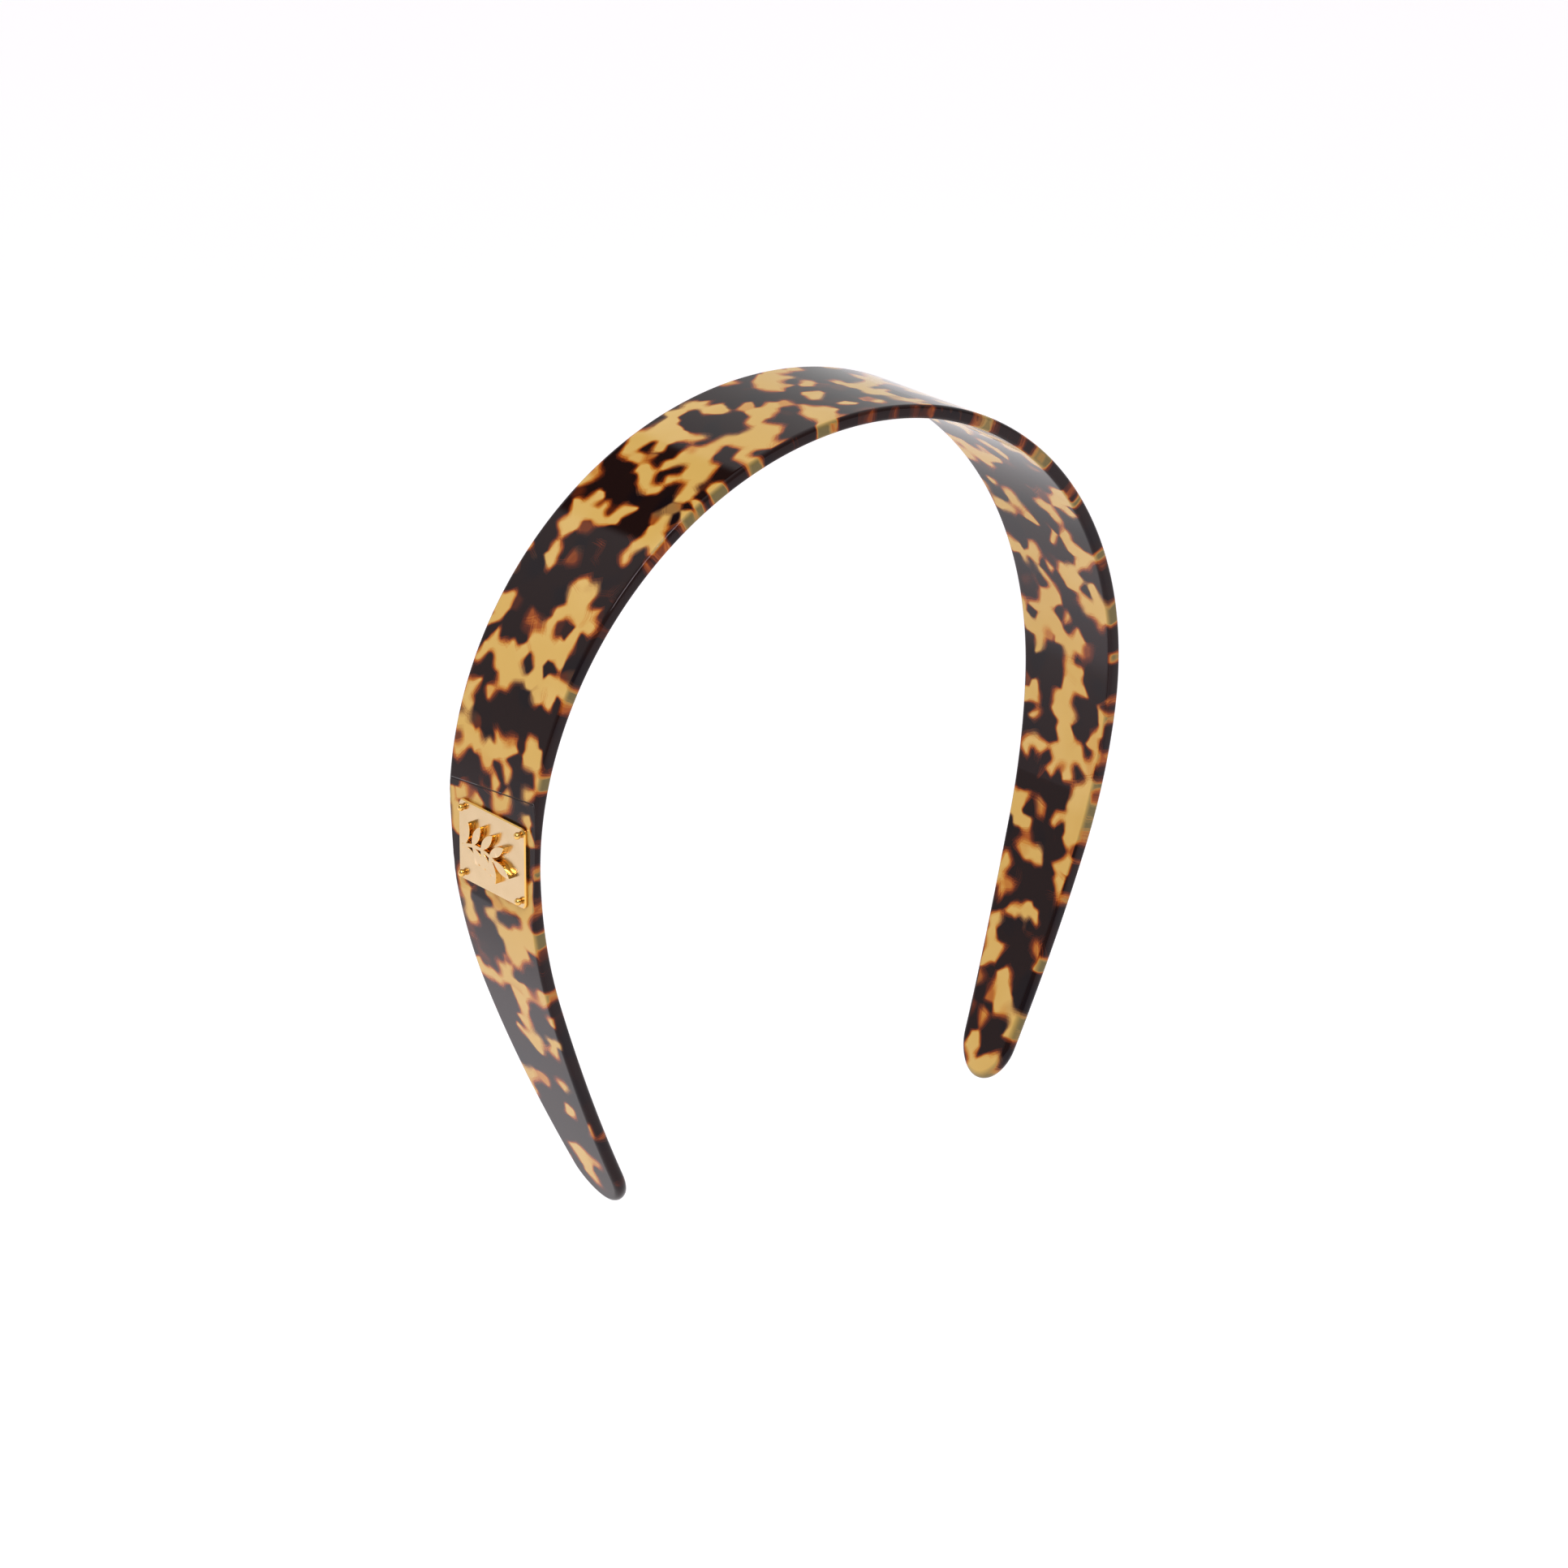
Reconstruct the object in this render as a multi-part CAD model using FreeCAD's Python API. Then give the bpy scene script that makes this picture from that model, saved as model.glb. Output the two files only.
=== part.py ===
import FreeCAD, Part
import math
import os

# A bent acetate headband with a small pinned metal badge on its right leg.
# Millimetres and degrees. The origin is at the middle of the inner face, on top of the head:
# +Z up, +Y towards the back of the head, +X towards the wearer's left.
Vec = FreeCAD.Vector

# The sheet, and the line it is bent to from the top of the head down to each tip.
SHEET = 2.5
BENDS = [(65.0, 94.0), (102.0, 15.0), (350.0, 7.5)]  # radius at mid-thickness, turn
EDGE_ROUND = 0.7

# The outline of the blank, along its length s from the top of the head.
CROWN_WIDTH = 28.5
TIP_WIDTH = 11.0
TAPER_POWER = 2.1
SETBACK = 4.0  # how far the legs sweep back
SETBACK_LENGTH = 118.0  # where they are furthest back
TIP_ROUND = 7.0  # length of each rounded end
SIDE_STATIONS = 14
TIP_STATIONS = 8
OVERRUN = 3.0  # how far cutting faces and blanks run past what they cut
ACROSS = 30.0  # to either side, for blanks and cuts wider than the band

# The flat milled across the right leg for the badge.
SEAT_LENGTH = 103.75
SEAT_DEPTH = 0.78
SEAT_TILT = 0.6  # it is cut a little deeper towards the front
SEAT_REACH = 15.0  # half the length of the cutter

# The badge: a plate on a film of adhesive, held by four pins.
BADGE_WIDTH = 18.2
BADGE_HEIGHT = 14.9
BADGE_SHEET = 0.55
BADGE_CORNER = 1.2
BADGE_BEVEL = 0.2
BADGE_DROP = 1.2  # its centre below the middle of the seat
BADGE_BACK = 3.4  # its centre behind the middle of the crown
BADGE_TURN = -2.2
FILM = 0.1
FILM_MARGIN = 0.25

PIN_INSET = 1.35
PIN_RADIUS = 0.35
PIN_CLEARANCE = 0.05  # round each pin, in the plate and the film
PIN_IN_BAND = 1.2
PIN_HOLE_DEPTH = 1.25
PIN_BALL_RADIUS = 0.65
PIN_BALL_RISE = 0.5

# The relief on the badge: a sprig of lens-shaped leaves on a curved stem.
SPRIG_RISE = 1.1
STEM_CHORD = 8.8
STEM_SAG = 1.0
STEM_WIDTH = 0.7
LEAF_LENGTH = 4.9
LEAF_WIDTH = 1.7
LEAF_ANGLE = 52.0
LEAF_PLACES = [0.06, 0.32, 0.58, 0.84]  # pairs of leaves, as shares of the stem
END_LEAF_PLACE = 0.96

BEND_LENGTHS = [radius * math.radians(turn) for radius, turn in BENDS]
LEG_LENGTH = sum(BEND_LENGTHS)
SHOULDER = LEG_LENGTH - TIP_ROUND  # where each rounded end begins


def on_sheet(s, y, height):
    """A point on the left leg at length s and setting y, at a height over the middle of the sheet."""
    x = 0.0
    z = SHEET / 2
    turned = 0.0
    left = s
    for (radius, turn), length in zip(BENDS, BEND_LENGTHS):
        step = min(left, length) if radius != BENDS[-1][0] else left
        after = turned + step / radius
        x += radius * (math.sin(after) - math.sin(turned))
        z += radius * (math.cos(after) - math.cos(turned))
        turned = after
        left -= step
    return Vec(x + height * math.sin(turned), y, z + height * math.cos(turned))


def half_width(s):
    """Half the blank's width at length s, rounded off past the shoulder."""
    straight = (CROWN_WIDTH - (CROWN_WIDTH - TIP_WIDTH) * (abs(s) / LEG_LENGTH) ** TAPER_POWER) / 2
    into_tip = max(0.0, (s - SHOULDER) / TIP_ROUND)
    return straight * math.sqrt(max(0.0, 1 - into_tip**2))


def setback(s):
    """How far the middle of the blank lies behind the middle of the crown at length s."""
    return SETBACK / 2 * (1 - math.cos(math.pi * s / SETBACK_LENGTH))


def outline():
    """The blank's edge as (s, y), from the crown down the back edge, round the tip and up the front."""
    sides = [-OVERRUN + (SHOULDER + OVERRUN) * i / SIDE_STATIONS for i in range(SIDE_STATIONS)]
    turns = [math.pi / 2 * i / TIP_STATIONS for i in range(TIP_STATIONS + 1)]
    lengths = sides + [SHOULDER + TIP_ROUND * math.sin(turn) for turn in turns]
    back = [(s, setback(s) + half_width(s)) for s in lengths]
    front = [(s, setback(s) - half_width(s)) for s in lengths[:-1]]
    return back + front[::-1]


def arc_chain(height):
    """The bend's arcs at one height over the middle of the sheet, from the crown to the tip."""
    arcs = []
    start = 0.0
    for length in BEND_LENGTHS[:-1] + [BEND_LENGTHS[-1] + OVERRUN]:
        points = [on_sheet(start + length * share, 0, height) for share in (0, 0.5, 1)]
        arcs.append(Part.Arc(*points).toShape())
        start += length
    return arcs


def bent_strip():
    """One leg of the bent sheet before its outline is cut: every face an exact plane or cylinder."""
    outer = arc_chain(SHEET / 2)
    inner = arc_chain(-SHEET / 2)
    end_length = LEG_LENGTH + OVERRUN
    crown = Part.makeLine(on_sheet(0, 0, -SHEET / 2), on_sheet(0, 0, SHEET / 2))
    end = Part.makeLine(on_sheet(end_length, 0, SHEET / 2), on_sheet(end_length, 0, -SHEET / 2))
    profile = Part.Face(Part.Wire([crown] + outer + [end] + inner[::-1]))
    profile.translate(Vec(0, -ACROSS, 0))
    return profile.extrude(Vec(0, 2 * ACROSS, 0))


def cutting_wall():
    """The surface square to the sheet that the blank's outline sweeps."""
    edges = []
    for height in (-OVERRUN, OVERRUN):
        curve = Part.BSplineCurve()
        curve.interpolate([on_sheet(s, y, height) for s, y in outline()])
        edges.append(curve.toShape())
    return Part.makeRuledSurface(*edges)


def half_band():
    """The left half of the band, with rounded edges all round and a square face at the crown."""
    strip, _ = bent_strip().generalFuse([cutting_wall()])
    middle = on_sheet(LEG_LENGTH / 2, setback(LEG_LENGTH / 2), 0)
    half = next(solid for solid in strip.Solids if solid.isInside(middle, 0.001, False))
    rims = [face for face in half.Faces if isinstance(face.Surface, Part.BSplineSurface)]
    rounded = [edge for face in rims for edge in face.Edges if abs(edge.CenterOfMass.x) > 0.001]
    return half.makeFillet(EDGE_ROUND, rounded)


def seat_frame():
    """The milled flat: z out of the band, x towards the front and y up the leg."""
    out_angle = SEAT_LENGTH / BENDS[0][0]
    outward = Vec(-math.sin(out_angle), 0, math.cos(out_angle))
    up = Vec(math.cos(out_angle), 0, math.sin(out_angle))
    front = Vec(0, -1, 0)
    middle = on_sheet(SEAT_LENGTH, BADGE_BACK, SHEET / 2 - SEAT_DEPTH)
    middle.x = -middle.x
    square = FreeCAD.Placement(middle, FreeCAD.Rotation(front, up, outward, "ZXY"))
    tilt = FreeCAD.Placement(Vec(), FreeCAD.Rotation(Vec(0, 1, 0), SEAT_TILT))
    return square.multiply(tilt)


def badge_frame():
    """The badge's own frame on the flat: x along its width, y along its height, z outwards."""
    turn = FreeCAD.Rotation(Vec(0, 0, 1), BADGE_TURN)
    return seat_frame().multiply(FreeCAD.Placement(Vec(0, -BADGE_DROP, 0), turn))


def placed(shape):
    """A shape made in the badge's frame, moved to its place on the band."""
    shape.Placement = badge_frame().multiply(shape.Placement)
    return shape


def pin_places():
    """Each pin's name and its place in the badge's frame."""
    across = BADGE_WIDTH / 2 - PIN_INSET
    along = BADGE_HEIGHT / 2 - PIN_INSET
    return {
        f"pin_{end}_{level}": Vec(x, y, 0)
        for end, x in (("front", across), ("rear", -across))
        for level, y in (("upper", along), ("lower", -along))
    }


def pin_holes(radius, bottom, top):
    """Four round tools on the pins' axes, from one height over the flat to another."""
    tools = [
        Part.makeCylinder(radius, top - bottom, place + Vec(0, 0, bottom))
        for place in pin_places().values()
    ]
    return Part.makeCompound(tools)


def rounded_block(width, height, corner, bottom, thickness):
    """A flat block with rounded corners, centred in the badge's frame."""
    block = Part.makeBox(width, height, thickness, Vec(-width / 2, -height / 2, bottom))
    corners = [edge for edge in block.Edges if abs(edge.tangentAt(edge.FirstParameter).z) > 0.5]
    return block.makeFillet(corner, corners)


def right_half_band():
    """The half with the badge: mirrored, milled flat, and drilled for the pins."""
    half = half_band().mirror(Vec(), Vec(1, 0, 0))
    mill = Part.makeBox(2 * ACROSS, 2 * SEAT_REACH, OVERRUN, Vec(-ACROSS, -SEAT_REACH, 0))
    mill.Placement = seat_frame()
    drills = placed(pin_holes(PIN_RADIUS, -PIN_HOLE_DEPTH, OVERRUN))
    return half.cut(mill).cut(drills)


def badge_adhesive():
    width = BADGE_WIDTH - 2 * FILM_MARGIN
    height = BADGE_HEIGHT - 2 * FILM_MARGIN
    film = rounded_block(width, height, BADGE_CORNER, 0, FILM)
    return placed(film.cut(pin_holes(PIN_RADIUS + PIN_CLEARANCE, -FILM, 2 * FILM)))


def badge_plate():
    plate = rounded_block(BADGE_WIDTH, BADGE_HEIGHT, BADGE_CORNER, FILM, BADGE_SHEET)
    front = max(plate.Faces, key=lambda face: face.CenterOfMass.z)
    plate = plate.makeChamfer(BADGE_BEVEL, front.Edges)
    return placed(plate.cut(pin_holes(PIN_RADIUS + PIN_CLEARANCE, 0, 2 * BADGE_SHEET)))


def corner_pin(place):
    """A plain shank with a ball for a head, which stands on the plate."""
    plate_top = FILM + BADGE_SHEET
    ball_height = plate_top + PIN_BALL_RISE
    shank = Part.makeCylinder(PIN_RADIUS, PIN_IN_BAND + ball_height, place - Vec(0, 0, PIN_IN_BAND))
    ball = Part.makeSphere(PIN_BALL_RADIUS, place + Vec(0, 0, ball_height))
    below = Part.makeBox(2, 2, 2, place + Vec(-1, -1, plate_top - 2))
    return placed(shank.fuse(ball.cut(below)).removeSplitter())


def stem_point(share, off=0.0):
    """A point at a share of the stem's length, off to its left, and the stem's direction there."""
    radius = (STEM_CHORD**2 / 4 + STEM_SAG**2) / (2 * STEM_SAG)
    sweep = 2 * math.asin(STEM_CHORD / 2 / radius)
    heading = (0.5 - share) * sweep
    centre = Vec(0, STEM_SAG / 2 - radius)
    return centre + Vec(-math.sin(heading), math.cos(heading)) * (radius + off), heading


def stem():
    """The curved stem's outline, as wide at one end as at the other."""
    upper = [stem_point(share, STEM_WIDTH / 2)[0] for share in (0, 0.5, 1)]
    lower = [stem_point(share, -STEM_WIDTH / 2)[0] for share in (1, 0.5, 0)]
    edges = [
        Part.Arc(*upper).toShape(),
        Part.makeLine(upper[2], lower[0]),
        Part.Arc(*lower).toShape(),
        Part.makeLine(lower[2], upper[0]),
    ]
    return Part.Face(Part.Wire(edges))


def leaf(root, heading):
    """A lens of two arcs, from its root along its heading in radians."""
    ahead = Vec(math.cos(heading), math.sin(heading))
    aside = Vec(-math.sin(heading), math.cos(heading))
    tip = root + ahead * LEAF_LENGTH
    middle = root + ahead * (LEAF_LENGTH / 2)
    sides = [middle + aside * (LEAF_WIDTH / 2), middle - aside * (LEAF_WIDTH / 2)]
    return Part.Face(Part.Wire([Part.Arc(root, side, tip).toShape() for side in sides]))


def sprig_relief():
    """The sprig: a stem, a leaf at its end and pairs of leaves along it, cut from one flat sheet."""
    spread = math.radians(LEAF_ANGLE)
    leaves = [leaf(*stem_point(END_LEAF_PLACE))]
    for share in LEAF_PLACES:
        root, heading = stem_point(share)
        leaves += [leaf(root, heading + spread), leaf(root, heading - spread)]
    blank = stem().fuse(leaves).removeSplitter()
    blank.translate(Vec(-LEAF_LENGTH / 2, 0, FILM + BADGE_SHEET))  # so that the end leaf is centred too
    return placed(blank.extrude(Vec(0, 0, SPRIG_RISE)).Solids[0])


def build():
    """Every sub-part by name, each in its place."""
    parts = {
        "right_half_band": right_half_band(),
        "left_half_band": half_band(),
        "badge_adhesive": badge_adhesive(),
        "badge_plate": badge_plate(),
        "sprig_relief": sprig_relief(),
    }
    for name, place in pin_places().items():
        parts[name] = corner_pin(place)
    return parts


os.makedirs("parts", exist_ok=True)
for name, shape in build().items():
    shape.exportStep(f"parts/{name}.step")
    print(name, "valid" if shape.isValid() else "NOT VALID", len(shape.Solids), round(shape.Volume, 2))
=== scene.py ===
import math

import bpy
from mathutils import Euler, Matrix, Vector


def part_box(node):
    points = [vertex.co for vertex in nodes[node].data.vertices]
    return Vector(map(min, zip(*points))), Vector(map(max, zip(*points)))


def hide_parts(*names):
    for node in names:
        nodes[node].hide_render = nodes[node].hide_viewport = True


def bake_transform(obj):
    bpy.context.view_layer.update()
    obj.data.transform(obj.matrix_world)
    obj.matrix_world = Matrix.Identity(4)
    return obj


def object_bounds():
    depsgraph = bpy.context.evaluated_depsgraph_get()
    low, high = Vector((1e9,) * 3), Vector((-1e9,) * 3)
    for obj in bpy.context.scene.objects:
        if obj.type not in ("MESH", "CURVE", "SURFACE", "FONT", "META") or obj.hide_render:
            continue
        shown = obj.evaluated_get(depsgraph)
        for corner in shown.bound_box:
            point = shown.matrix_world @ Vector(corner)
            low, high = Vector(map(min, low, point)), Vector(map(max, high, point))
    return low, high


# Lengths are in metres, in the part's frame: +Z up, +Y to the back of the head, origin under the crown.
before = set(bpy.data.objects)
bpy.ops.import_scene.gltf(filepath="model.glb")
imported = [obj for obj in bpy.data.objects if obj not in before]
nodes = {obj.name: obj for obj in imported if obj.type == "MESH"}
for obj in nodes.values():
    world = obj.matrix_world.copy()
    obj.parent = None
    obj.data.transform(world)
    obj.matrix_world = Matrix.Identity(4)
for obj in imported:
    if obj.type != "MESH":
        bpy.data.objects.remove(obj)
cad_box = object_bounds()
band_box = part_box("left_half_band")

MM = 0.001
SHEET = band_box[1].z  # the crown's outer face is one sheet above the origin
BENDS = [(65 * MM, math.radians(94)), (102 * MM, math.radians(15)), (350 * MM, math.radians(7.5))]
LEG = sum(radius * turn for radius, turn in BENDS)
CROWN_WIDTH = 2 * -band_box[0].y
TIP_WIDTH = 11 * MM
TAPER_POWER = 2.1
SETBACK = 4 * MM
SETBACK_LENGTH = 118 * MM
TIP_ROUND = 7 * MM
EDGE_ROUND = 0.7 * MM
TIP_EDGE_ROUND = 1.15 * MM  # the tips are tumbled rounder than the rest
TIP_EDGE_START = 45 * MM
TIP_EDGE_LENGTH = 38 * MM

SIDE_STEP = 0.8 * MM
SEAT_STEP = 0.25 * MM
TIP_STEPS = 20
ACROSS_STEPS = 14
ROUND_STEPS = 5

SEAT_MIDDLE = 103.75 * MM
SEAT_HALF = 12 * MM
SEAT_DEPTH = 0.78 * MM
SEAT_TILT = math.radians(0.6)
SEAT_BACK = 3.4 * MM
SEAT_FACING = 0.9  # the cutter leaves faces that turn further from it than this cosine
OFF_SEAT = -1.0  # stands for a height over the milled flat where there is no flat

SLOPE_STEP = 0.02 * MM  # the step over which the outline's direction is measured
FIRST_SHARE = 0.012  # where the first and last points across a face lie, close to its edges


# ---------------------------------------------------------------- the bent sheet

def on_sheet(s, y, height):
    """The point at length s from the crown (right leg negative), at setting y and height over mid-sheet."""
    x, z, turned, left = 0.0, SHEET / 2, 0.0, abs(s)
    for number, (radius, turn) in enumerate(BENDS):
        last = number == len(BENDS) - 1
        step = left if last else min(left, radius * turn)
        after = turned + step / radius
        x += radius * (math.sin(after) - math.sin(turned))
        z += radius * (math.cos(after) - math.cos(turned))
        turned, left = after, left - step
    side = math.copysign(1, s)
    point = Vector((side * (x + height * math.sin(turned)), y, z + height * math.cos(turned)))
    normal = Vector((side * math.sin(turned), 0, math.cos(turned)))
    return point, normal


def half_width(s):
    """Half the band's width at length s, tapering to the tip and rounded off there."""
    taper = (abs(s) / LEG) ** TAPER_POWER
    straight = (CROWN_WIDTH - (CROWN_WIDTH - TIP_WIDTH) * taper) / 2
    into_tip = max(0.0, (abs(s) - LEG + TIP_ROUND) / TIP_ROUND)
    return straight * math.sqrt(max(0.0, 1 - into_tip ** 2))


def setback(s):
    """How far the band's middle line has moved to the back at length s."""
    return SETBACK / 2 * (1 - math.cos(math.pi * s / SETBACK_LENGTH))


def edge_round(s):
    """The radius of the band's rounded edges at length s."""
    share = min(1.0, max(0.0, (abs(s) - LEG + TIP_EDGE_START) / TIP_EDGE_LENGTH))
    return EDGE_ROUND + (TIP_EDGE_ROUND - EDGE_ROUND) * share * share * (3 - 2 * share)


def stations():
    """Lengths along the band from the right tip to the left, closer at the tips and round the seat."""
    shoulder = LEG - TIP_ROUND
    tips = [shoulder + TIP_ROUND * math.sin(math.pi / 2 * i / TIP_STEPS) for i in range(1, TIP_STEPS + 1)]
    places = [-s for s in reversed(tips)]
    s = -shoulder
    while s < shoulder - SIDE_STEP / 2:
        places.append(s)
        s += SEAT_STEP if abs(s + SEAT_MIDDLE) < SEAT_HALF else SIDE_STEP
    return places + [shoulder] + tips


def outline(s, side):
    """The edge's point and inward direction in the flat blank, on the back (side +1) or front (-1)."""
    if abs(s) > LEG - TIP_ROUND:
        turn = math.asin(min(1.0, (abs(s) - LEG + TIP_ROUND) / TIP_ROUND))
        width = half_width(math.copysign(LEG - TIP_ROUND, s))
        across = Vector((math.copysign(TIP_ROUND * math.cos(turn), s), -side * width * math.sin(turn)))
    else:
        y0, y1 = (setback(s + d) + side * half_width(s + d) for d in (-SLOPE_STEP, SLOPE_STEP))
        across = Vector((2 * SLOPE_STEP, y1 - y0)) * math.copysign(1, s)
    across.normalize()
    inward = Vector((across.y, -across.x)) * side * math.copysign(1, s)
    return Vector((s, setback(s) + side * half_width(s))), inward


def seat_plane():
    """A point on the milled flat and its outward direction."""
    out_angle = SEAT_MIDDLE / BENDS[0][0]
    face, _ = on_sheet(-SEAT_MIDDLE, SEAT_BACK, SHEET / 2 - SEAT_DEPTH)
    outward = Vector((-math.sin(out_angle) * math.cos(SEAT_TILT), -math.sin(SEAT_TILT), math.cos(out_angle)))
    return face, outward.normalized()


def milled(point, normal, face, outward):
    """The point pushed back to the milled flat if it stands proud of it, and how proud it stood."""
    proud = outward.dot(point - face)
    facing = outward.dot(normal)
    if facing < SEAT_FACING:
        return point, OFF_SEAT
    return point - normal * (max(0.0, proud) / facing), proud


def section(s):
    """One row round the band at length s: (point in the blank, height, how far round onto the rim)."""
    row = []
    ends = [outline(s, side) for side in (-1, 1)]
    radius = edge_round(s)
    quarter = [math.pi / 2 * i / ROUND_STEPS for i in range(ROUND_STEPS + 1)]
    shares = [FIRST_SHARE] + [i / ACROSS_STEPS for i in range(1, ACROSS_STEPS)] + [1 - FIRST_SHARE]
    for face in (1, -1):
        edge_a, edge_b = ends if face == 1 else ends[::-1]
        arcs = [
            [
                (place + inward * radius * (1 - math.cos(turn)),
                 face * (SHEET / 2 - radius * (1 - math.sin(turn))),
                 math.cos(turn))
                for turn in quarter
            ]
            for place, inward in (edge_a, edge_b)
        ]
        near, far = arcs[0][-1][0], arcs[1][-1][0]
        row += arcs[0] + [(near.lerp(far, share), face * SHEET / 2, 0.0) for share in shares] + arcs[1][::-1]
    return row


def faces_between(rows):
    """The faces that join each row of point numbers to the next, without the corners that fall together."""
    faces = []
    for here, after in zip(rows, rows[1:]):
        for c in range(len(here)):
            d = (c + 1) % len(here)
            corners = list(dict.fromkeys((here[c], after[c], after[d], here[d])))
            if len(corners) > 2:
                faces.append(corners)
    return faces


def band_piece():
    """The whole band as one closed mesh, with its place in the flat sheet kept on every point."""
    face, outward = seat_plane()
    index, points, sheet, rim, seat, grid = {}, [], [], [], [], []
    for s in stations():
        line = []
        for flat, height, roundness in section(s):
            key = (round(flat.x, 7), round(flat.y, 7), round(height, 7))
            if key not in index:
                point, normal = on_sheet(flat.x, flat.y, height)
                proud = OFF_SEAT
                if flat.x < 0 < height:
                    point, proud = milled(point, normal, face, outward)
                index[key] = len(points)
                points.append(tuple(point))
                sheet.append((flat.x, flat.y, height))
                rim.append(roundness)
                seat.append(proud if flat.x > -SEAT_MIDDLE else OFF_SEAT)
            line.append(index[key])
        grid.append(line)
    mesh = bpy.data.meshes.new("acetate_band")
    mesh.from_pydata(points, [], faces_between(grid))
    flat_places = mesh.attributes.new("sheet", "FLOAT_VECTOR", "POINT")
    flat_places.data.foreach_set("vector", [number for place in sheet for number in place])
    for name, values in (("rim", rim), ("seat", seat)):
        mesh.attributes.new(name, "FLOAT", "POINT").data.foreach_set("value", values)
    mesh.shade_smooth()
    piece = bpy.data.objects.new("acetate_band", mesh)
    bpy.context.scene.collection.objects.link(piece)
    return piece


# ---------------------------------------------------------------- materials

# The tortoiseshell pattern, on the flat sheet.
CUT_FROM = (-2.15, 0.12, 0.0)  # where on a larger sheet this band was cut
CHIP = 2.7 * MM
CROWD = 7.0 * MM  # the size of the groups that dark chips keep to
STRAY = 0.25  # how much a chip's own luck counts beside its group's level
DARK_LEVEL = 0.65  # chips below this level are dark
LEVEL_BLUR = 0.02  # chips this close to it are partly dark
DARKER_STRETCH = (-115 * MM, -150 * MM)  # where dark chips grow more common, towards the right tip
EXTRA_DARK = 0.08  # taken from the level at the end of that stretch
EDGE_DARK = 0.05  # taken from the level on the cut edge, which shows the chips that lie behind it too
CORNER_BLEND = 0.25  # how far neighbouring chips run into each other
SHALLOW_BLUR = 0.35 * MM
DEEP_BLUR = 1.1 * MM
DEPTH_SIZE = 4 * MM  # of the patches that lie shallow or deep
DEPTH_EASE = (0.3, 0.7)  # where in the depth noise shallow turns to deep
TAPS = 12  # shifted copies of the chips, averaged to blur them
GOLDEN_ANGLE = 2.4
SLOW_WANDER = (8 * MM, 0.5 * MM)  # the wavelength and reach of the bends in the chips' sides
QUICK_WANDER = (1.4 * MM, 0.06 * MM)
MOOD_SIZE = 8 * MM  # of the patches that glow or are smoky
MOOD_EASE = (0.54, 0.68)  # where in the mood noise glowing turns to smoky
TINT_SIZE = 22 * MM  # of the patches of paler amber
TINT_EASE = (0.45, 0.7)
PALER_SHARE = 0.5
CLEAR_LIMIT = 0.4  # darkness above this takes no amber or olive tint
SEAT_LINE = 0.03 * MM  # how far off the milled flat the painted shade line and the bump groove round its upper edge reach
# how much of the painted shade's black goes into that line
SEAT_SHADE_SHARE = 0.9
SEAT_LINE_DEPTH = 0.08 * MM

# From clear amber towards a dark chip, where the light glows through its edge and where it is smothered.
GLOWING = [(0.0, "d0a85c"), (0.25, "c38235"), (0.5, "a2501a"), (0.75, "5c240f"), (1.0, "1c0d0b")]
SMOKY = [(0.0, "d0a85c"), (0.25, "b48546"), (0.5, "825b34"), (0.75, "4a2e1f"), (1.0, "130a0d")]
PALE_AMBER = "dcba78"
OLIVE = "71633c"
# The painted shade of the line round the milled flat's upper edge.
PAINTED_SHADE_BLACK = "170b0c"

# The gold, as the shader's linear colours. Their split between the flats and the other faces is painted
# reflection: paler where the flats mirror the pale room, deeper where the other faces mirror gold.
DEEP_GOLD_PAINTED_REFLECTION = (0.80, 0.48, 0.13)
FLAT_GOLD_PAINTED_REFLECTION = (0.60, 0.44, 0.25)
PALE_FLAT_GOLD_PAINTED_REFLECTION = (0.70, 0.53, 0.33)
FLAT_EASE = (0.97, 0.995)  # how squarely a face lies to the plate before it counts as one of its flats
SATIN_ROUGHNESS = 0.10  # added on the flats
GRAIN_ROUGHNESS = 0.10  # added where the grain is strongest
POLISHED_ROUGHNESS = 0.07
GRAIN_SCALE = 2600.0
WEAR_SCALE = 240.0

CLOUD_SCALE = 900.0
THIN_ADHESIVE = (0.50, 0.46, 0.36)
THICK_ADHESIVE = (0.66, 0.62, 0.52)

FLOOR_DROP = 0.25
FLOOR_GREY = (0.88, 0.88, 0.88)
FLOOR_WHITE = (0.9, 0.9, 0.9)
FLOOR_GLOW = 0.38
POOL_GLOW = 0.5  # the extra glow of a pool of floor behind the object, which the right leg reflects
POOL_PLACE = (-0.27, 0.42)
POOL_EASE = (0.32, 0.12)  # the distances from its middle where the pool ends and is full


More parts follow.
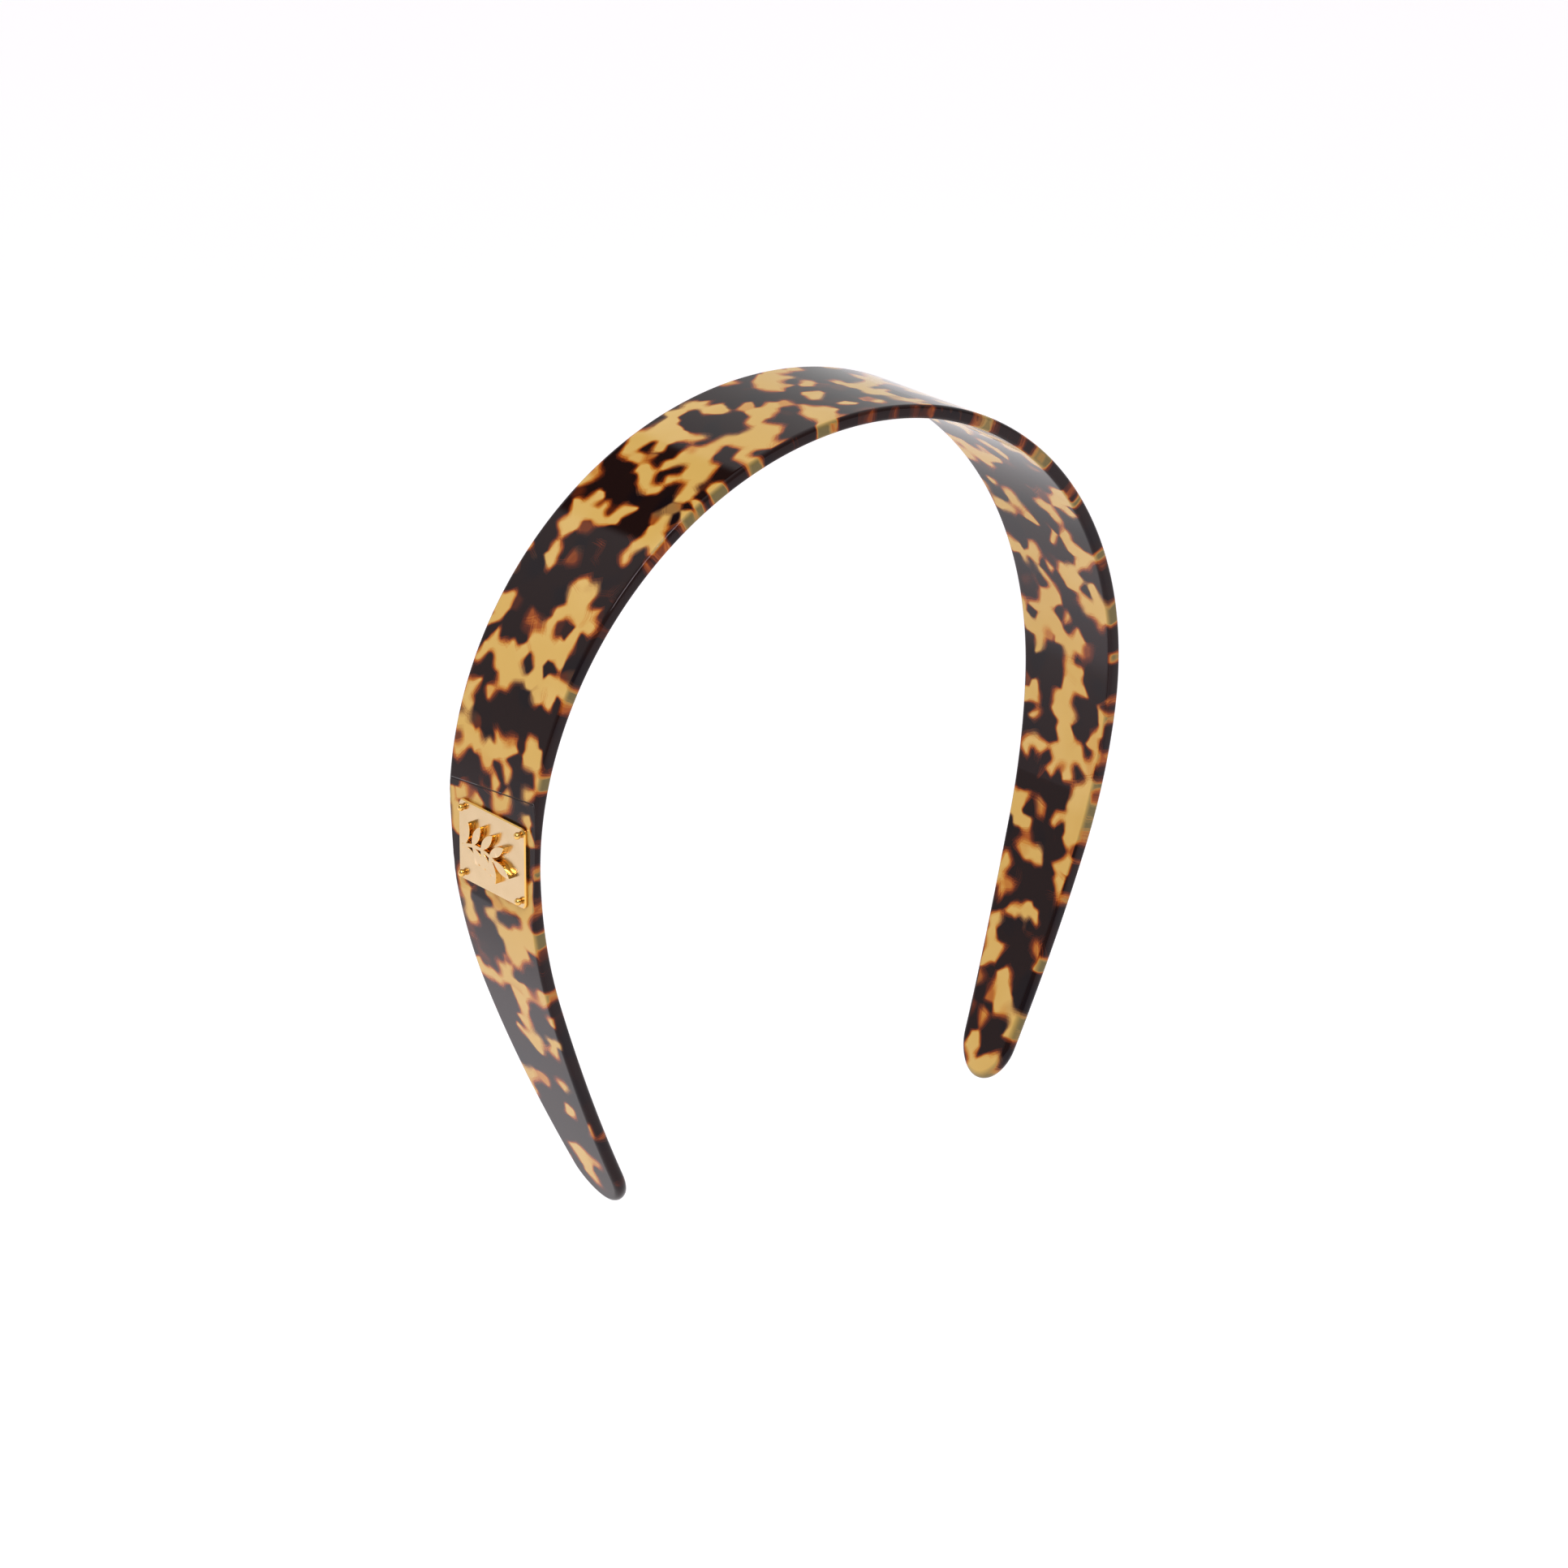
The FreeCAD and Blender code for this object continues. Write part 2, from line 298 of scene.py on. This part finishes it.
class Nodes:
    """A short way to write a material's nodes."""

    def __init__(self, name):
        self.material = bpy.data.materials.new(name)
        self.material.use_nodes = True
        self.tree = self.material.node_tree
        self.tree.nodes.clear()
        self.shader = self.tree.nodes.new("ShaderNodeBsdfPrincipled")
        output = self.tree.nodes.new("ShaderNodeOutputMaterial")
        self.tree.links.new(self.shader.outputs[0], output.inputs["Surface"])

    def put(self, socket, value):
        if isinstance(value, bpy.types.NodeSocket):
            self.tree.links.new(value, socket)
        else:
            socket.default_value = value

    def add(self, kind, settings=None, **inputs):
        node = self.tree.nodes.new("ShaderNode" + kind)
        for key, value in (settings or {}).items():
            setattr(node, key, value)
        for key, value in inputs.items():
            self.put(node.inputs[key.replace("_", " ")], value)
        return node

    def maths(self, operation, a, b=0.0, c=0.0):
        node = self.tree.nodes.new("ShaderNodeMath")
        node.operation = operation
        for socket, value in zip(node.inputs, (a, b, c)):
            self.put(socket, value)
        return node.outputs[0]

    def vector(self, operation, a, b=(0, 0, 0), scale=1.0):
        node = self.tree.nodes.new("ShaderNodeVectorMath")
        node.operation = operation
        self.put(node.inputs[0], a)
        if operation == "SCALE":
            self.put(node.inputs["Scale"], scale)
        else:
            self.put(node.inputs[1], b)
        return node.outputs["Value" if operation in ("DISTANCE", "DOT_PRODUCT") else "Vector"]

    def ease(self, value, low, high):
        node = self.add("MapRange", {"interpolation_type": "SMOOTHSTEP"}, Value=value)
        node.inputs["From Min"].default_value = low
        node.inputs["From Max"].default_value = high
        return node.outputs["Result"]

    def mix(self, share, a, b):
        node = self.tree.nodes.new("ShaderNodeMix")
        node.data_type = "RGBA"
        self.put(node.inputs["Factor"], share)
        for socket, value in zip((s for s in node.inputs if s.type == "RGBA"), (a, b)):
            self.put(socket, value if isinstance(value, bpy.types.NodeSocket) else (*value, 1.0))
        return next(s for s in node.outputs if s.type == "RGBA")

    def set(self, **inputs):
        for key, value in inputs.items():
            self.put(self.shader.inputs[key.replace("_", " ")], value)


def shade(code):
    """A colour written as on a screen, in the shader's linear values."""
    channels = [int(code[i:i + 2], 16) / 255 for i in (0, 2, 4)]
    return tuple(c / 12.92 if c < 0.04 else ((c + 0.055) / 1.055) ** 2.4 for c in channels)


def dark_chip(n, place, extra):
    """1 inside a dark chip and 0 inside a clear one: dark chips keep together, with a few strays."""
    settings = {"feature": "SMOOTH_F1", "voronoi_dimensions": "2D"}
    chip = n.add("TexVoronoi", settings, Vector=place, Scale=1 / CHIP, Smoothness=CORNER_BLEND)
    crowd = n.add("TexNoise", {"noise_dimensions": "2D"}, Vector=chip.outputs["Position"], Scale=1 / CROWD)
    luck = n.add("SeparateColor", Color=chip.outputs["Color"]).outputs[0]
    level = n.maths("MULTIPLY_ADD", luck, STRAY, crowd.outputs["Fac"])
    level = n.maths("SUBTRACT", level, extra)
    return n.ease(level, DARK_LEVEL + LEVEL_BLUR, DARK_LEVEL - LEVEL_BLUR)


def darkness(n, place, extra):
    """The dark chips seen blurred by the depth of the sheet, more in some places than in others."""
    depth = n.add("TexNoise", Vector=place, Scale=1 / DEPTH_SIZE, Detail=1.0).outputs["Fac"]
    reach = n.maths("MULTIPLY_ADD", n.ease(depth, *DEPTH_EASE), DEEP_BLUR - SHALLOW_BLUR, SHALLOW_BLUR)
    total = 0.0
    for tap in range(TAPS):
        radius = math.sqrt((tap + 0.5) / TAPS)
        offset = (radius * math.cos(GOLDEN_ANGLE * tap), radius * math.sin(GOLDEN_ANGLE * tap), 0)
        moved = n.vector("ADD", place, n.vector("SCALE", offset, scale=reach))
        total = n.maths("MULTIPLY_ADD", dark_chip(n, moved, extra), 1 / TAPS, total)
    return total


def wandering(n, place, wavelength, reach):
    """The place moved about by up to roughly reach, so that straight lines wander."""
    # The noise seldom strays more than a quarter from its middle, hence the factor of 4.
    noise = n.add("TexNoise", Vector=place, Scale=1 / wavelength, Detail=1.0).outputs["Color"]
    centred = n.vector("SUBTRACT", noise, (0.5, 0.5, 0.5))
    return n.vector("ADD", place, n.vector("SCALE", centred, scale=4 * reach))


def ramp(n, value, tones):
    node = n.add("ValToRGB", Fac=value)
    stops = node.color_ramp.elements
    while len(stops) < len(tones):
        stops.new(0.5)
    for stop, (place, code) in zip(stops, tones):
        stop.position = place
        stop.color = (*shade(code), 1.0)
    return node.outputs["Color"]


def tortoiseshell():
    n = Nodes("tortoiseshell_acetate")
    sheet = n.add("Attribute", {"attribute_name": "sheet"}).outputs["Vector"]
    rim = n.add("Attribute", {"attribute_name": "rim"}).outputs["Fac"]
    place = wandering(n, n.vector("ADD", sheet, CUT_FROM), *SLOW_WANDER)
    place = wandering(n, place, *QUICK_WANDER)
    along = n.add("SeparateXYZ", Vector=sheet).outputs["X"]
    extra = n.maths("MULTIPLY", n.ease(along, *DARKER_STRETCH), EXTRA_DARK)
    dark = darkness(n, place, n.maths("MULTIPLY_ADD", rim, EDGE_DARK, extra))

    clear = n.ease(dark, CLEAR_LIMIT, 0.0)
    tint = n.add("TexNoise", Vector=sheet, Scale=1 / TINT_SIZE, Detail=3.0).outputs["Fac"]
    mood = n.add("TexNoise", Vector=sheet, Scale=1 / MOOD_SIZE, Detail=1.0).outputs["Fac"]
    colour = n.mix(n.ease(mood, *MOOD_EASE), ramp(n, dark, GLOWING), ramp(n, dark, SMOKY))
    paler = n.maths("MULTIPLY", n.ease(tint, *TINT_EASE), clear)
    colour = n.mix(n.maths("MULTIPLY", paler, PALER_SHARE), colour, shade(PALE_AMBER))
    colour = n.mix(n.maths("MULTIPLY", rim, clear), colour, shade(OLIVE))
    # A painted shade line round the milled flat's upper edge, where its hidden wall would shade the crease;
    # the bump below also presses a groove there.
    seat = n.add("Attribute", {"attribute_name": "seat"}).outputs["Fac"]
    seat_groove_and_shade = n.ease(n.maths("ABSOLUTE", seat), SEAT_LINE, SEAT_LINE / 3)
    colour = n.mix(n.maths("MULTIPLY", seat_groove_and_shade, SEAT_SHADE_SHARE), colour, shade(PAINTED_SHADE_BLACK))
    groove = n.add("Bump", {"invert": True}, Height=seat_groove_and_shade, Strength=1.0, Distance=SEAT_LINE_DEPTH)
    n.set(Base_Color=colour, Normal=groove.outputs["Normal"], Roughness=0.04, Specular_IOR_Level=0.2)
    n.set(Specular_Tint=(1.0, 0.92, 1.0, 1.0))
    return n.material


def gold():
    """Pale gold plating, brushed rougher on the badge's flats and polished elsewhere, with painted
    reflection in its colour: paler on the flats, a deeper gold elsewhere.
    """
    n = Nodes("pale_gold_plate")
    place = n.add("TexCoord").outputs["Object"]
    outward = seat_plane()[1]
    facing = n.vector("DOT_PRODUCT", n.add("NewGeometry").outputs["True Normal"], tuple(outward))
    flat = n.ease(facing, *FLAT_EASE)
    grain = n.add("TexNoise", Vector=place, Scale=GRAIN_SCALE, Detail=3.0).outputs["Fac"]
    worn = n.add("TexNoise", Vector=place, Scale=WEAR_SCALE, Detail=2.0).outputs["Fac"]
    # Painted reflection: the flats get the paler tones, varied at random, and the other faces the deeper
    # gold.
    flat_painted_reflection = n.mix(worn, FLAT_GOLD_PAINTED_REFLECTION, PALE_FLAT_GOLD_PAINTED_REFLECTION)
    n.set(Base_Color=n.mix(flat, DEEP_GOLD_PAINTED_REFLECTION, flat_painted_reflection), Metallic=1.0)
    roughness = n.maths("MULTIPLY_ADD", grain, GRAIN_ROUGHNESS, POLISHED_ROUGHNESS)
    n.set(Roughness=n.maths("MULTIPLY_ADD", flat, SATIN_ROUGHNESS, roughness))
    bump = n.add("Bump", Height=grain, Strength=0.05, Distance=0.05 * MM)
    n.set(Normal=bump.outputs["Normal"])
    return n.material


def adhesive():
    n = Nodes("cloudy_adhesive")
    place = n.add("TexCoord").outputs["Object"]
    cloud = n.add("TexNoise", Vector=place, Scale=CLOUD_SCALE, Detail=2.0).outputs["Fac"]
    n.set(Base_Color=n.mix(cloud, THIN_ADHESIVE, THICK_ADHESIVE), Roughness=0.4)
    return n.material


def light_table():
    n = Nodes("pale_light_table")
    place = n.add("TexCoord").outputs["Object"]
    grain = n.add("TexNoise", Vector=place, Scale=6.0, Detail=2.0).outputs["Fac"]
    n.set(Base_Color=n.mix(grain, FLOOR_GREY, FLOOR_WHITE), Roughness=0.9)
    far = n.vector("DISTANCE", place, (*POOL_PLACE, cad_box[0].z - FLOOR_DROP))
    glow = n.maths("MULTIPLY_ADD", n.ease(far, *POOL_EASE), POOL_GLOW, FLOOR_GLOW)
    n.set(Emission_Color=(1.0, 0.93, 0.99, 1.0), Emission_Strength=glow)
    return n.material


# ---------------------------------------------------------------- the object

LEAF_ROUND = 0.13 * MM


def paint(piece, material):
    piece.data.materials.clear()
    piece.data.materials.append(material)


def soften(piece, width):
    """Rounds off the sharp edges, as polishing before plating does."""
    weld = piece.modifiers.new("weld", "WELD")
    weld.merge_threshold = 0.002 * MM
    bevel = piece.modifiers.new("bevel", "BEVEL")
    bevel.width = width
    bevel.segments = 3
    bevel.limit_method = "ANGLE"
    bevel.angle_limit = math.radians(30)
    bevel.harden_normals = True


band = band_piece()
paint(band, tortoiseshell())
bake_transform(band)
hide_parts("right_half_band", "left_half_band")

gold_material = gold()
pins = [f"pin_{row}_{level}" for row in ("front", "rear") for level in ("upper", "lower")]
for name in ["badge_plate", "sprig_relief", *pins]:
    paint(nodes[name], gold_material)
paint(nodes["badge_adhesive"], adhesive())
soften(nodes["sprig_relief"], LEAF_ROUND)


# ---------------------------------------------------------------- the studio

# The room. Each pair is a range of the heading's X (right), Y (back) or Z (up) over which its light changes.
DIM_FRONT = (-0.7, 0.3)
DIM_FRONT_LEVELS = (0.4, 0.85)
DIM_LEFT = (-0.95, -0.35)
DIM_LEFT_LEVELS = (0.6, 1.0)
GAP_FOOT = (0.600, 0.612)
GAP_LEFT = (-0.24, -0.19)
GAP_RIGHT = (0.16, 0.22)
GAP_FRONT = (0.3, 0.4)
GAP_LEVEL = 0.05

FLOOR_REACH = 6.0
CAMERA_LENS = 178.59
CAMERA_HEADING = -39.281
CAMERA_RISE = 20.937
CAMERA_ROLL = -0.132
CAMERA_AIM = (-0.01774, -0.01582, -0.06011)
CAMERA_DISTANCE = 1.33123
LIGHT_AIM = (0, 0, -0.06)


def look(azimuth, elevation, aim, distance, roll=0.0):
    """Where something that looks at aim stands, as a rotation and a place."""
    turn = Euler((math.radians(90 - elevation), 0, math.radians(azimuth)))
    matrix = turn.to_matrix() @ Matrix.Rotation(math.radians(roll), 3, "Z")
    return matrix.to_4x4(), Vector(aim) + matrix @ Vector((0, 0, distance))


def camera():
    data = bpy.data.cameras.new("camera")
    data.lens = CAMERA_LENS
    data.sensor_width = 36.0
    piece = bpy.data.objects.new("camera", data)
    bpy.context.scene.collection.objects.link(piece)
    turn, place = look(CAMERA_HEADING, CAMERA_RISE, CAMERA_AIM, CAMERA_DISTANCE, CAMERA_ROLL)
    piece.matrix_world = Matrix.Translation(place) @ turn
    bpy.context.scene.camera = piece


def softbox(name, azimuth, elevation, distance, size, power):
    data = bpy.data.lights.new(name, "AREA")
    data.shape = "RECTANGLE"
    data.size, data.size_y = size
    data.energy = power
    piece = bpy.data.objects.new(name, data)
    bpy.context.scene.collection.objects.link(piece)
    turn, place = look(azimuth, elevation, LIGHT_AIM, distance)
    piece.matrix_world = Matrix.Translation(place) @ turn


def floor():
    mesh = bpy.data.meshes.new("floor")
    depth = cad_box[0].z - FLOOR_DROP
    signs = ((-1, -1), (1, -1), (1, 1), (-1, 1))
    corners = [(x * FLOOR_REACH, y * FLOOR_REACH, depth) for x, y in signs]
    mesh.from_pydata(corners, [], [(0, 1, 2, 3)])
    piece = bpy.data.objects.new("floor", mesh)
    bpy.context.scene.collection.objects.link(piece)
    paint(piece, light_table())


def sky():
    """A white room, dimmer behind the camera and to its left, with a dark gap high up behind the object."""
    world = bpy.data.worlds.new("studio")
    world.use_nodes = True
    tree = world.node_tree
    background = tree.nodes["Background"]
    background.inputs["Color"].default_value = (1, 1, 1, 1)
    bpy.context.scene.world = world
    heading = tree.nodes.new("ShaderNodeTexCoord").outputs["Generated"]
    axes = tree.nodes.new("ShaderNodeSeparateXYZ")
    tree.links.new(heading, axes.inputs[0])

    def step(value, span, levels=(0.0, 1.0)):
        node = tree.nodes.new("ShaderNodeMapRange")
        node.interpolation_type = "SMOOTHSTEP"
        tree.links.new(value, node.inputs["Value"])
        for name, number in zip(("From Min", "From Max", "To Min", "To Max"), (*span, *levels)):
            node.inputs[name].default_value = number
        return node.outputs["Result"]

    def times(a, b):
        node = tree.nodes.new("ShaderNodeMath")
        node.operation = "MULTIPLY"
        tree.links.new(a, node.inputs[0])
        tree.links.new(b, node.inputs[1])
        return node.outputs[0]

    depth = step(axes.outputs["Y"], DIM_FRONT, DIM_FRONT_LEVELS)
    room = times(depth, step(axes.outputs["X"], DIM_LEFT, DIM_LEFT_LEVELS))
    high = step(axes.outputs["Z"], GAP_FOOT)
    left = step(axes.outputs["X"], GAP_LEFT)
    right = step(axes.outputs["X"], GAP_RIGHT, (1.0, 0.0))
    behind = step(axes.outputs["Y"], GAP_FRONT)
    gap = times(times(high, left), times(right, behind))
    outside_gap = step(gap, (0.0, 1.0), (1.0, GAP_LEVEL))
    tree.links.new(times(room, outside_gap), background.inputs["Strength"])


camera()
floor()
sky()
softbox("overhead", azimuth=0, elevation=88, distance=2.4, size=(3.0, 3.0), power=8)
softbox("key", azimuth=-50, elevation=48, distance=1.4, size=(0.10, 0.8), power=9)
bpy.context.scene.view_settings.view_transform = "Standard"
